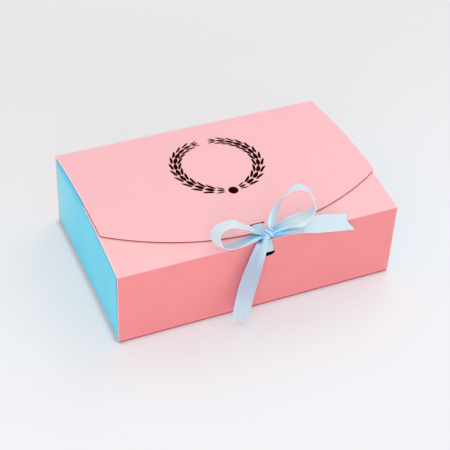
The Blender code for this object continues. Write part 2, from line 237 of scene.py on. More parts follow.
cardLooks = {
    # The lid's and flap's pinks and the walls' deeper pink are lit and shaded copies of one printed card colour:
    # painted light on the tops, painted shade on the walls.
    "lidPink": (0.965, 0.53, 0.56),
    "lidPinkDeep": (0.945, 0.50, 0.53),
    "flapPink": (0.99, 0.555, 0.575),
    "flapPinkDeep": (0.97, 0.525, 0.545),
    "shadedWallPink": (0.87, 0.285, 0.295),
    "shadedWallPinkDeep": (0.85, 0.255, 0.265),
    "blue": (0.21, 0.74, 0.92),
    "blueDeep": (0.13, 0.68, 0.89),
    # Painted shade, painted light and a painted shadow line for the blue end.
    "blueTopShade": (0.06, 0.56, 0.88),
    "paleBlueLight": (0.40, 0.78, 0.90),
    "blueShadowLine": (0.01, 0.20, 0.34),
    "white": (0.86, 0.86, 0.87),
    "whiteDeep": (0.78, 0.77, 0.78),
    "pinkEdge": (0.95, 0.92, 0.93),
    "pinkEdgeDeep": (0.90, 0.80, 0.82),
    "blueEdge": (0.72, 0.86, 0.91),
    "blueEdgeDeep": (0.50, 0.76, 0.86),
    "wear": (0.97, 0.86, 0.87),
    # Painted shade colours that surfaces turn towards where they are closed in: under the lid's edge, in creases,
    # at the walls' foot, on the blue end, on the cut edges and inside the shut box. The walls' lighter, redder
    # one is painted bounced light that lifts their shade beside the ribbon.
    "hollowShadePink": (0.74, 0.0, 0.0),
    "shadeLiftWall": (1.0, 0.34, 0.42),
    "creaseShade": (0.62, 0.10, 0.19),
    "footShade": (0.50, 0.02, 0.025),
    "hollowShadeBlue": (0.07, 0.24, 0.38),
    "edgeShadeRed": (0.80, 0.06, 0.08),
    "edgeShadeBlue": (0.06, 0.22, 0.32),
    "edgeShadeLow": (0.36, 0.36, 0.44),
    "insideShade": (0.02, 0.015, 0.015),
}


def cardColour(name):
    return (*cardLooks[name], 1.0)


def grained(grain, colour):
    # Plain card between its colour and the deeper one.
    return blend(ramp(grain["Tone"], 0.1, 0.9), cardColour(colour + "Deep"), cardColour(colour))


def finishCard(shader, base, grain):
    normal = bump(grain["Height"], 0.12, 0.00008)
    roughness = grain["Roughness"]
    setInputs(shader, {
        "Base Color": base,
        "Roughness": roughness,
        "Specular IOR Level": 0.35,
        "Normal": normal,
    })


def cardMaterial(name, colour, amount=1.0, mottleScale=45.0):
    material, tree, shader = newMaterial(name)
    given = {"Vector": objectPlace(tree)[0], "Amount": amount, "Mottle Scale": mottleScale}
    grain = useGroup(tree, cardGrain, given)
    finishCard(shader, grained(grain, colour), grain)
    return material


def recolour(material, colour, mask):
    base = material.node_tree.nodes["Principled BSDF"].inputs["Base Color"]
    before = base.links[0].from_socket
    material.node_tree.links.new(blend(mask, before, cardColour(colour)), base)


def addHollowShade(material, colour, reach, amount, low=0.25, high=0.85):
    # Painted shade: where the surface is closed in, its colour turns towards the given one, standing in for the
    # shade there and the light that bounces from card to card.
    recolour(material, colour, ramp(openness(material.node_tree, reach), low, high, amount, 0.0))


# How the cut edges at the box's sides are painted darker and shaded.
sideEdgeShade = {"width": 0.0030, "amount": 0.85, "reach": 0.006, "fade": (0.25, 0.85, 0.9, 0.0)}


def addEdgeShade(material):
    # Painted shade and reflected colour on the cut edges: the lid's edge takes a painted red shade from the flap
    # under it, and at the box's sides the edges are darker, shaded where closed in, with painted blue from the
    # tray high up.
    addHollowShade(material, "edgeShadeRed", 0.004, 1.0)
    _, x, _, z = objectPlace(material.node_tree)
    atSide = calc("GREATER_THAN", calc("ABSOLUTE", x), halfLength - sideEdgeShade["width"])
    recolour(material, "pinkEdgeDeep", times(atSide, sideEdgeShade["amount"]))
    dim = times(ramp(openness(material.node_tree, sideEdgeShade["reach"]), *sideEdgeShade["fade"]), atSide)
    recolour(material, "edgeShadeLow", dim)
    recolour(material, "edgeShadeBlue", times(dim, calc("GREATER_THAN", z, box["height"] / 2)))


def addWear(material, axis, sign, origin, width, amount, slope=0.0):
    # Pale wear on a fold or a cut edge: where the axis coordinate times sign, less slope times y,
    # reaches origin.
    place, x, y, _ = objectPlace(material.node_tree)
    along = minus(times({"X": x, "Y": y}[axis], sign), times(y, slope))
    away = calc("ABSOLUTE", minus(along, origin))
    given = {"Vector": place, "Distance": away, "Width": width, "Amount": amount}
    recolour(material, "wear", useGroup(material.node_tree, creaseWear, given)["Mask"])


# Painted light and shade on the blue end: deeper painted shade under the lid's edge, most of all at the back,
# paler painted light low at the back, and a dark painted shadow line under the lid and in the gap at the front
# wall. Each row has the two places that a tone fades between, and mostly the tone at both.
paintedBlueShades = {
    "top": (0.053, 0.067),                           # z: painted shade deepens under the lid's edge
    "toBack": (-0.05, 0.07, 0.15, 0.8),              # y: most of all at the back
    "pale": (0.02, 0.08, 0.0, 0.5),                  # y: painted light, paler low at the back
    "lidLine": (-0.010, 0.034, 0.0632, 0.0674),      # y: height of the painted shadow line under the lid
    "atCorner": (-0.075, -0.045, 0.0020, 0.0),       # y: what it rises by at the corner
    "under": (-0.0030, -0.0006, 0.0, 0.6),           # height over that line
    "gapPlace": 0.0015,
    "gapWidth": 0.0013,
    "gapSlope": 0.09,                                # the painted shadow in the gap at the front wall widens upwards
    "inGap": (0.6, 1.1, 0.75, 0.0),                  # share of the gap's width
}


def paintBlueShade(material):
    # Paints shade deeper under the lid, paler light low at the back, and a dark shadow line under the lid's edge
    # and in the gap at the front wall.
    _, _, y, z = objectPlace(material.node_tree)
    top = ramp(z, *paintedBlueShades["top"])
    recolour(material, "paleBlueLight", times(ramp(y, *paintedBlueShades["pale"]), minus(1.0, top)))
    recolour(material, "blueTopShade", times(top, ramp(y, *paintedBlueShades["toBack"])))
    line = plus(ramp(y, *paintedBlueShades["lidLine"]), ramp(y, *paintedBlueShades["atCorner"]))
    under = ramp(minus(z, line), *paintedBlueShades["under"])
    fromEnd = plus(y, halfDepth - paintedBlueShades["gapPlace"])
    width = times(z, paintedBlueShades["gapSlope"], paintedBlueShades["gapWidth"])
    inGap = ramp(calc("DIVIDE", fromEnd, width), *paintedBlueShades["inGap"])
    recolour(material, "blueShadowLine", calc("MAXIMUM", under, inGap))


pressShade = {"from": -0.0042, "to": 0.0125, "y": -0.0592, "width": 0.0007, "amount": 0.22}


def addPressShade(material):
    # Painted shade: a faint pressed line behind the slit, drawn as a dark line.
    _, x, y, _ = objectPlace(material.node_tree)
    away = calc("ABSOLUTE", minus(y, pressShade["y"]))
    inside = times(calc("GREATER_THAN", x, pressShade["from"]), calc("LESS_THAN", x, pressShade["to"]))
    line = ramp(away, 0.0, pressShade["width"], pressShade["amount"], 0.0)
    recolour(material, "hollowShadePink", times(inside, line))


# The walls' card is the painted-shade copy of the pink, and the flap's card a lighter painted-light copy.
lidPink = cardMaterial("lidPinkCard", "lidPink")
flapPink = cardMaterial("flapPinkCard", "flapPink")
shadedWallPink = cardMaterial("wallPinkCard", "shadedWallPink")
cardWhite = cardMaterial("unprintedCard", "white", 1.4, 30.0)
pinkEdge = cardMaterial("pinkCutEdge", "pinkEdge", 2.0, 400.0)
blueCard = cardMaterial("blueCard", "blue", 0.9)
blueEdge = cardMaterial("blueCutEdge", "blueEdge", 2.0, 400.0)
addWear(lidPink, "Y", 1.0, panelStart, 0.0016, 0.35)
for side in (-1, 1):
    lidSide = halfLength + side * box["lidSkew"] * halfDepth
    addWear(lidPink, "X", side, lidSide, 0.0010, 1.0, -side * box["lidSkew"])
    addWear(flapPink, "X", side, halfLength, 0.0010, 1.0)
    addWear(shadedWallPink, "X", side, halfLength, 0.0008, 0.8)
paintBlueShade(blueCard)
addPressShade(lidPink)
# Painted shade under the lid's edge, along the walls' foot, near the ribbon and on the blue end, and painted
# bounced light that lifts the walls' shade beside the ribbon.
addHollowShade(lidPink, "hollowShadePink", 0.004, 1.0)
addHollowShade(flapPink, "hollowShadePink", 0.004, 1.0, 0.3, 0.9)
addHollowShade(shadedWallPink, "shadeLiftWall", 0.022, 1.0, 0.25, 0.7)
addHollowShade(shadedWallPink, "creaseShade", 0.0035, 0.8, 0.2, 0.7)
addHollowShade(shadedWallPink, "footShade", 0.0012, 1.0)
addHollowShade(blueCard, "hollowShadeBlue", 0.010, 0.7, 0.30, 0.8)
addEdgeShade(pinkEdge)
print("card materials are built")


# Meshes.
def addObject(name, data):
    made = bpy.data.objects.new(name, data)
    bpy.context.scene.collection.objects.link(made)
    return made


def newMesh(name, points, faces):
    mesh = bpy.data.meshes.new(name)
    mesh.from_pydata([tuple(point) for point in points], [], faces)
    return mesh


def finishMesh(mesh, weld=0.0, sharpAngle=math.radians(38)):
    # Faces look outwards and are smooth, and edges over the angle stay sharp.
    shape = bmesh.new()
    shape.from_mesh(mesh)
    if weld:
        bmesh.ops.remove_doubles(shape, verts=shape.verts, dist=weld)
    bmesh.ops.recalc_face_normals(shape, faces=shape.faces)
    for face in shape.faces:
        face.smooth = True
    for edge in shape.edges:
        edge.smooth = len(edge.link_faces) == 2 and edge.calc_face_angle(math.pi) < sharpAngle
    shape.to_mesh(mesh)
    shape.free()


def newPiece(name, points, faces, materials, slots=None, corners=None, shades=None):
    # slots: one material index a face. corners and shades: one map place and three tones a point.
    mesh = newMesh(name, points, faces)
    for material in materials:
        mesh.materials.append(material)
    if slots is not None:
        mesh.polygons.foreach_set("material_index", slots)
    if corners is not None:
        picked = np.zeros(len(mesh.loops), np.int32)
        mesh.loops.foreach_get("vertex_index", picked)
        places = np.asarray(corners, np.float32)[picked]
        mesh.uv_layers.new(name="ribbonMap").data.foreach_set("uv", places.ravel())
        tones = np.column_stack([shades, np.ones(len(shades))]).astype(np.float32)
        mesh.attributes.new("foldShade", "FLOAT_COLOR", "POINT").data.foreach_set("color", tones.ravel())
    finishMesh(mesh)
    return addObject(name, mesh)


def sheetPiece(name, outer, inner, materials, slots=(0, 1, 2), corners=None, shades=None):
    # A sheet between two matching grids of points. slots: the outer side, the rim and the inner side.
    count = outer[:, :, 0].size
    grid = np.arange(count).reshape(outer.shape[:2])
    quads = np.stack([grid[:-1, :-1], grid[:-1, 1:], grid[1:, 1:], grid[1:, :-1]], axis=2).reshape(-1, 4)
    rim = np.concatenate([grid[0], grid[1:, -1], grid[-1, -2::-1], grid[-2:0:-1, 0]])
    onward = np.roll(rim, -1)
    walls = np.stack([onward, rim, rim + count, onward + count], axis=1)
    faces = np.concatenate([quads, quads[:, ::-1] + count, walls]).tolist()
    picked = np.repeat([slots[0], slots[2], slots[1]], [len(quads), len(quads), len(walls)]).tolist()
    points = np.concatenate([outer.reshape(-1, 3), inner.reshape(-1, 3)])
    if corners is not None:
        corners = np.concatenate([corners.reshape(-1, 2)] * 2)
        shades = np.concatenate([shades.reshape(-1, 3)] * 2)
    return newPiece(name, points, faces, materials, picked, corners, shades)


def finished(piece):
    # Turns what the modifiers make into the piece's plain mesh.
    graph = bpy.context.evaluated_depsgraph_get()
    mesh = bpy.data.meshes.new_from_object(piece.evaluated_get(graph))
    mesh.name = piece.name
    piece.modifiers.clear()
    piece.data = mesh
    return piece


def cutOpening(piece, outline, axis, low, high):
    # Cuts a straight-walled opening, whose walls show the card's edge.
    count = len(outline)
    points = np.insert(np.concatenate([outline, outline]), axis, np.repeat([low, high], count), axis=1)
    faces = [tuple(range(count)), tuple(range(2 * count - 1, count - 1, -1))]
    for first in range(count):
        second = (first + 1) % count
        faces.append((first, first + count, second + count, second))
    cutter = newPiece("openingCutter", points, faces, list(piece.data.materials), [1] * len(faces))
    modifier = piece.modifiers.new("opening", "BOOLEAN")
    modifier.operation = "DIFFERENCE"
    modifier.solver = "EXACT"
    modifier.object = cutter
    finished(piece)
    bpy.data.objects.remove(cutter, do_unlink=True)
    finishMesh(piece.data)


def arc(middle, radius, start, end, steps):
    turns = np.radians(np.linspace(start, end, steps + 1))
    return [(middle[0] + radius * math.cos(turn), middle[1] + radius * math.sin(turn)) for turn in turns]


def extruded(profile, x):
    # A profile in y and z, carried along x.
    profile = np.array(profile)
    return np.stack(np.broadcast_arrays(x[None, :], profile[:, :1], profile[:, 1:]), axis=2)


def flapHeight(y):
    return box["height"] + box["archRise"] * (1 - (y / halfDepth) ** 2)


def lidHeight(y):
    share = np.clip((halfDepth - y) / (halfDepth - box["flapEdge"]), 0.0, 1.0)
    return flapHeight(y) + (card + box["layerGap"]) * share * share * (3 - 2 * share)


# The cover: bottom, front wall and back wall in one folded sheet.
cover = {
    "bendRadius": 0.0024,
    "bendSteps": 8,
    "wallTop": 0.0690,
    "wallRows": 14,
    "bottomRows": 16,
    "columns": 40,
    "holeSteps": 48,
}
coverX = np.linspace(-halfLength, halfLength, cover["columns"])


def makeCover():
    bend = cover["bendRadius"]

    def profile(inset):
        side = arc((halfDepth - bend, bend), bend - inset, 270, 360, cover["bendSteps"])
        side += [(halfDepth - inset, z) for z in np.linspace(bend, cover["wallTop"], cover["wallRows"])][1:]
        bottom = [(y, inset) for y in np.linspace(bend - halfDepth, halfDepth - bend, cover["bottomRows"])][1:-1]
        return [(-y, z) for y, z in reversed(side)] + bottom + side

    materials = [shadedWallPink, pinkEdge, cardWhite]
    outer, inner = (extruded(profile(depth), coverX) for depth in (0.0, card))
    piece = sheetPiece("cover_sheet", outer, inner, materials)
    turns = np.linspace(0, 2 * math.pi, cover["holeSteps"], endpoint=False)
    across = box["holeX"] + box["holeLength"] / 2 * np.cos(turns)
    upward = holeZ + box["holeHeight"] / 2 * np.sin(turns)
    cutOpening(piece, list(zip(across, upward)), 1, -halfDepth - card, -halfDepth + 2 * card)
    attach(piece, "cover")
    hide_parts("cover_bottom", "cover_front_wall", "cover_back_wall")


makeCover()


# The lid and the flap under it.
panels = {
    "rows": 44,
    "columns": 72,
    "flapColumns": 40,
    "cornerSteps": 12,
    "slitSteps": 6,
    "flapSlitExtra": 0.0004,
    "slitPulled": 0.0006,        # the ribbon's pull has opened the slit a little towards the back
}


def panelColumns(touch, radius, first, columns):
    # Columns that are evenly spread between the round corners, and follow the corners' arcs.
    turns = arc((halfLength - radius, 0.0), radius, 90 - first, 0, panels["cornerSteps"])
    corner = [place for place, _ in turns]
    middle = touch * np.linspace(-1, 1, columns)[1:-1]
    return np.array([-place for place in reversed(corner)] + list(middle) + corner)


def panelPiece(name, x, edgeY, height, skew, startY, materials, slitExtra):
    shares = np.linspace(0, 1, panels["rows"])[:, None]
    y = startY + (edgeY - startY)[None, :] * shares
    outer = np.stack([x[None, :] + skew * (halfDepth - y), y, height(y)], axis=2)
    piece = sheetPiece(name, outer, outer - np.array([0.0, 0.0, card]), materials)
    reachX = box["slitLength"] / 2 + slitExtra
    reachY = (box["slitWidth"] + slitExtra + panels["slitPulled"]) / 2
    middleY = slitY + panels["slitPulled"] / 2
    right = arc((box["slitX"] + reachX - reachY, middleY), reachY, -90, 90, panels["slitSteps"])
    left = arc((box["slitX"] - reachX + reachY, middleY), reachY, 90, 270, panels["slitSteps"])
    cutOpening(piece, right + left, 2, creaseZ, box["height"] + 2 * box["archRise"])
    return piece


def makeLid():
    # The free edge is one wide arc that runs into a small arc at each corner.
    tipY = box["lidTipInset"] - halfDepth
    bulge = box["lidSideInset"] - box["lidTipInset"]
    edgeRadius = (halfLength**2 + bulge**2) / (2 * bulge)
    radius = box["lidRadius"]
    inner = halfLength - radius
    touch = edgeRadius * inner / (edgeRadius - radius)
    first = math.degrees(math.asin((touch - inner) / radius))
    x = panelColumns(touch, radius, first, panels["columns"] + 1)
    centre = tipY + edgeRadius
    beyond = np.clip(np.abs(x) - inner, 0.0, radius)
    cornerY = centre - math.sqrt((edgeRadius - radius) ** 2 - inner**2)
    roundY = cornerY - np.sqrt(radius**2 - beyond**2)
    edgeY = np.where(np.abs(x) > touch, roundY, centre - np.sqrt(edgeRadius**2 - x**2)) + box["lidTurn"] * x
    materials = [lidPink, pinkEdge, cardWhite]
    piece = panelPiece("lid_panel", x, edgeY, lidHeight, box["lidSkew"], panelStart, materials, 0.0)
    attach(piece, "lid")
    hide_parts("lid")
    return piece


def makeFlap():
    radius = box["flapRadius"]
    x = panelColumns(halfLength - radius, radius, 0, panels["flapColumns"])
    beyond = np.clip(np.abs(x) - halfLength + radius, 0.0, radius)
    edgeY = box["flapEdge"] - radius + np.sqrt(radius**2 - beyond**2)
    materials = [flapPink, pinkEdge, cardWhite]
    piece = panelPiece("flap_panel", x, edgeY, flapHeight, 0.0, -panelStart, materials, panels["flapSlitExtra"])
    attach(piece, "front_flap")
    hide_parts("front_flap")


lidPanel = makeLid()
makeFlap()


# The folds between the walls and the panels.
crease = {"footRows": 4, "turnSteps": 10, "topShares": (0.35, 0.7, 1.0), "thicknessShare": 0.8}


def makeCrease(name, side):
    def profile(inset):
        radius = card - inset
        far = flapHeight(panelStart) - inset
        rise = far - creaseZ - radius
        path = [(creaseY + radius, z) for z in np.linspace(cover["wallTop"], creaseZ, crease["footRows"])]
        path += arc((creaseY, creaseZ), radius, 0, 90, crease["turnSteps"])[1:]
        for share in crease["topShares"]:
            path.append((creaseY + (panelStart - creaseY) * share, creaseZ + radius + rise * share))
        return [(side * y, z) for y, z in path]

    inner = extruded(profile(card * crease["thicknessShare"]), coverX)
    piece = sheetPiece(name, extruded(profile(0.0), coverX), inner, [creasePink, pinkEdge, cardWhite])
    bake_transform(piece)


# Painted light and shade over the fold: from the wall's shaded pink to the lid's lit pink, with painted shade
# where the fold is closed in.
creasePink = cardMaterial("creasePinkCard", "shadedWallPink")
recolour(creasePink, "lidPink", ramp(objectPlace(creasePink.node_tree)[3], cover["wallTop"], box["height"]))
addHollowShade(creasePink, "creaseShade", 0.005, 0.9, 0.3, 0.8)
makeCrease("front_crease", -1)
makeCrease("back_crease", 1)
print("cover, lid and flap are built")


# The tray's ends, rolled double over the corner tabs.
tray = {
    "endInset": 0.0006,
    "sideInset": 0.0015,
    "topDrop": 0.0014,
    "lean": 0.0005,
    "bow": 0.0034,
    "lockShare": 0.42,
    "lockWidth": 0.012,
    "lockTaper": 0.002,
    "lockRise": 0.0001,
    "stations": 48,
    "outerRows": 12,
    "rollSteps": 10,
    "innerRows": 10,
}


def makeTrayEnd(name, side, node):
    bottomZ = card + gap
    wallHeight = box["height"] - tray["topDrop"] - bottomZ
    halfX = halfLength - tray["endInset"]
    wallY = halfDepth - tray["sideInset"]
    shortY = wallY - card - gap
    rolled = 3 * card + 2 * gap
    roll = rolled / 2
    rollZ = wallHeight - roll
    lockY = tray["lockShare"] * halfDepth
    taper = tray["lockTaper"]

    def endPoint(inward, height, y):
        bow = tray["lean"] + (tray["bow"] - tray["lean"]) * (1 - (y / wallY) ** 2)
        return (side * (halfX - inward - bow * height / wallHeight), y, bottomZ + height)

    reach = tray["lockWidth"] / 2
    locks = [middle + way for middle in (-lockY, lockY) for way in (-reach, taper - reach, reach - taper, reach)]
    outer = []
    inner = []
    for y in sorted(list(np.linspace(-1, 1, tray["stations"]) * shortY) + locks):
        # Each point of the chain has its way inwards and height on the outer side, the same on the inner,
        # and its y.
        farY = y * wallY / shortY
        foot = tray["lockRise"] if abs(abs(y) - lockY) < reach - taper / 2 else card + gap
        chain = [(0.0, height, card, height, farY) for height in np.linspace(0, rollZ, tray["outerRows"])]
        for across, upward in arc((0.0, 0.0), 1.0, 180, 0, tray["rollSteps"])[1:-1]:
            place = farY + (y - farY) * (1 + across) / 2
            thin = roll - card
            reached = (roll + roll * across, rollZ + roll * upward)
            chain.append((*reached, roll + thin * across, rollZ + thin * upward, place))
        heights = [*np.linspace(rollZ, card + gap + taper, tray["innerRows"]), foot]
        chain += [(rolled, height, rolled - card, height, y) for height in heights]
        outer.append([endPoint(row[0], row[1], row[4]) for row in chain])
        inner.append([endPoint(row[2], row[3], row[4]) for row in chain])
    piece = sheetPiece(name, np.array(outer), np.array(inner), [blueCard, blueEdge, cardWhite])
    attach(piece, "tray")
    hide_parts(node)


makeTrayEnd("tray_left_rolled_end", -1, "tray_left_end")
makeTrayEnd("tray_right_rolled_end", 1, "tray_right_end")


def makeTrayCard():
    # Printed blue outside and white inside, told apart by which way a face looks from the tray's middle.
    material, tree, shader = newMaterial("trayCard")
    place, _, _, z = objectPlace(tree)
    normal = shaderNode(tree, "TexCoord").outputs["Normal"]
    half = box["height"] / 2
    facing = calcVector("DOT_PRODUCT", normal, calcVector("SUBTRACT", place, (0.0, 0.0, half)), "Value")
    rim = times(calc("GREATER_THAN", split(normal)[2], 0.5), calc("GREATER_THAN", z, half))
    grain = useGroup(tree, cardGrain, {"Vector": place, "Mottle Scale": 30.0})
    sides = blend(calc("GREATER_THAN", facing, 0.0), grained(grain, "white"), grained(grain, "blue"))
    finishCard(shader, blend(rim, sides, cardColour("blueEdge")), grain)
    return material


trayCard = makeTrayCard()
# Painted shade: the tray darkens where it is closed in, inside the shut box.
addHollowShade(trayCard, "insideShade", 0.25, 1.0, 0.05, 0.25)
for nodeName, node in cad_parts.items():
    if nodeName.startswith(("tray_base", "tray_front", "tray_back", "tray_corner")):
        node.data.materials.clear()
        node.data.materials.append(trayCard)
print("tray is built")


# The ribbon. Its face is glossy satin, its back is a little duller and bluer.
ribbon = {
    "width": 0.015,
    "thickness": 0.0002,
    "columns": 33,
    "samples": 10,
    "knot": (0.0043, -0.0785, 0.0754),
    "knotHalf": (0.0033, 0.0038, 0.0039),
    "pleats": 2.5,
    "mostPleat": 0.0011,
    "cup": 0.00035,
    "notch": 0.003,
    "valleyShade": 0.12,      # how much painted shade deepens the bottom of a pleat
    "selvedgeFrom": 0.88,    # share of the half width from which the woven edge is thicker
    "selvedgeFade": 0.06,
    "selvedgeExtra": 0.6,
    "tuckRadius": 0.00011,
    "tuckStations": 90,
    "tuckPoints": (10, 7, 6),        # across the flat top, round the tuck, and under it
    "face": (0.745, 0.88, 0.93, 1.0),
    "back": (0.64, 0.84, 0.92, 1.0),
    # Painted shade tones for the satin's folds: grey where it is shaded, deep blue in folds and pleats, and navy
    # in deep shadow.
    "shaded": (0.42, 0.50, 0.625, 1.0),
    "deep": (0.08, 0.50, 0.82, 1.0),
    "navyShadow": (0.02, 0.10, 0.30, 1.0),
    "slub": (0.55, 0.74, 0.90, 1.0),
    "selvedge": (0.84, 0.92, 0.96, 1.0),
}
halfRibbon = ribbon["width"] / 2
knotPlace = np.array(ribbon["knot"])
knotHalf = np.array(ribbon["knotHalf"])


def satinMaterial(name, colour, roughness):
    # The foldShade attribute holds the painted shade of the satin's folds: how shaded, how deep blue and how dark
    # it is, as red, green and blue.
    material, tree, shader = newMaterial(name)
    place = shaderNode(tree, "UVMap", uv_map="ribbonMap").outputs["UV"]
    weave = useGroup(tree, satinWeave, {"Map": place, "Half Width": halfRibbon})
    folds = shaderNode(tree, "Attribute", attribute_name="foldShade").outputs["Color"]
    base = blend(ramp(weave["Tone"], 0.3, 0.75, 0.0, 0.3), ribbon[colour], ribbon["slub"])
    base = blend(times(weave["Selvedge"], 0.5), base, ribbon["selvedge"])
    tones = shaderNode(tree, "SeparateColor", {"Color": folds}).outputs
    for tone, look in zip(tones, ("shaded", "deep", "navyShadow")):
        base = blend(tone, base, ribbon[look])
    setInputs(shader, {
        "Base Color": base,
        "Roughness": times(weave["Selvedge"], 0.12, roughness),
        "Anisotropic": 0.4,
        "Sheen Weight": 0.15,
        "Sheen Roughness": 0.4,
        "Normal": bump(weave["Height"], 0.25, 0.00003),
    })
    return material


satinFace = satinMaterial("satinFace", "face", 0.36)
satinBack = satinMaterial("satinBack", "back", 0.46)


def smoothCurve(rows, samples):
    # A Catmull-Rom curve through the rows.
    rows = np.array(rows)
    ends = np.vstack([2 * rows[0] - rows[1], rows, 2 * rows[-1] - rows[-2]])
    curve = []
    for before, first, second, after in zip(ends, ends[1:], ends[2:], ends[3:]):
        for share in np.arange(samples) / samples:
            linear = (second - before) * share
            squared = (2 * before - 5 * first + 4 * second - after) * share**2
            cubed = (3 * first - before - 3 * second + after) * share**3
            curve.append((2 * first + linear + squared + cubed) / 2)
    return np.array(curve + [rows[-1]])


def runLength(points):
    return np.concatenate([[0.0], np.cumsum(np.linalg.norm(np.diff(points, axis=0), axis=1))])


def unit(vectors):
    return vectors / np.maximum(np.linalg.norm(vectors, axis=-1, keepdims=True), 1e-12)


def pleatDepth(width):
    # How deep the pleats are where the ribbon is drawn in to this width.
    share = np.linspace(-0.5, 0.5, 81)
    wave = np.sin(2 * math.pi * ribbon["pleats"] * share)
    low, high = 0.0, ribbon["mostPleat"]
    for _ in range(16):
        depth = (low + high) / 2
        length = np.sum(np.hypot(np.diff(share) * width, np.diff(wave) * depth))
        low, high = (depth, high) if length < ribbon["width"] else (low, depth)
    return (low + high) / 2


def satinSheet(name, strip, surface, spots, shades):
    # surface: a grid of points. spots: their places on the flat ribbon.
    normal = unit(np.cross(np.gradient(surface, axis=1), np.gradient(surface, axis=0)))
    outward = np.abs(spots[:, :, :1]) / halfRibbon
    selvedge = np.clip((outward - ribbon["selvedgeFrom"]) / ribbon["selvedgeFade"], 0, 1)
    thick = normal * ribbon["thickness"] / 2 * (1 + ribbon["selvedgeExtra"] * selvedge)
    sides = (surface + thick, surface - thick)
    piece = sheetPiece(name, *sides, [satinFace, satinBack], (0, 0, 1), spots, shades)
    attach(piece, strip["body"])
    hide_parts(strip["node"])
    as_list(strip["restsOn"])


def makeStrand(name, strip):
    curve = smoothCurve([(*row, 0.0, 0.0)[:8] for row in strip["rows"]], ribbon["samples"])
    middle = knotPlace + np.array(strip["start"]) * knotHalf + strip["reach"] * curve[:, :3]
    across = ribbon["width"] * curve[:, 3:6]
    width = np.linalg.norm(across, axis=1)
    run = runLength(middle)
    side = np.linspace(-1, 1, ribbon["columns"])
    notch = ribbon["notch"] if strip["held"] == "hung" else 0.0
    nearEnd = np.clip((run - run[-1]) / (2 * ribbon["notch"]) + 1, 0.0, 1.0)
    place = run[:, None] - notch * nearEnd[:, None] * (1 - np.abs(side))

    def sampled(values):
        # Values given along the run, read at each point's own place.
        return np.stack([np.interp(place, run, column) for column in values.T], axis=2)

    depth = np.interp(place, run, [pleatDepth(value) for value in width])
    wave = -np.sin(math.pi * ribbon["pleats"] * side)
    cup = ribbon["cup"] * (side**2 - 0.33)
    lift = depth * wave - np.interp(place, run, (width / ribbon["width"]) ** 2) * cup
    valley = (1 - wave) / 2 * depth / ribbon["mostPleat"]
    # Painted shade from the rows' tones, lighter on the ridge's lit side, deep blue in the pleats' valleys, and a
    # painted dark shadow spot.
    shaded, deep = np.moveaxis(sampled(np.clip(curve[:, 6:], 0, 1)), 2, 0)
    if "ridge" in strip:
        ridge = strip["ridge"]
        fade = np.clip(1 - place / (ridge["fade"] * run[-1]), 0, 1)
        lift = lift + ridge["height"] * fade * (0.5 - np.abs(side - ridge["side"]) / (1 + abs(ridge["side"])))
        lit = 1 - np.clip((side - ridge["side"]) / ridge["soft"] + 0.5, 0.0, 1.0)
        shaded = shaded * (1 - fade * lit)
    dark = np.zeros(place.shape)
    if "spot" in strip:
        spot = strip["spot"]
        away = np.hypot((side - spot["side"]) / spot["across"], place / spot["along"] - 1)
        dark = np.clip(spot["depth"] * (1 - away), 0, 1)
    deep = np.clip(deep * (0.5 + valley) + ribbon["valleyShade"] * valley, 0, 1)
    shades = np.stack([shaded, deep, dark], axis=2)
    facing = unit(np.cross(across, unit(np.gradient(middle, axis=0))))
    surface = sampled(middle) + sampled(across) * side[:, None] / 2 + sampled(facing) * lift[:, :, None]
    spots = np.stack(np.broadcast_arrays(side * halfRibbon, place), axis=2)
    satinSheet(name, strip, surface, spots, shades)
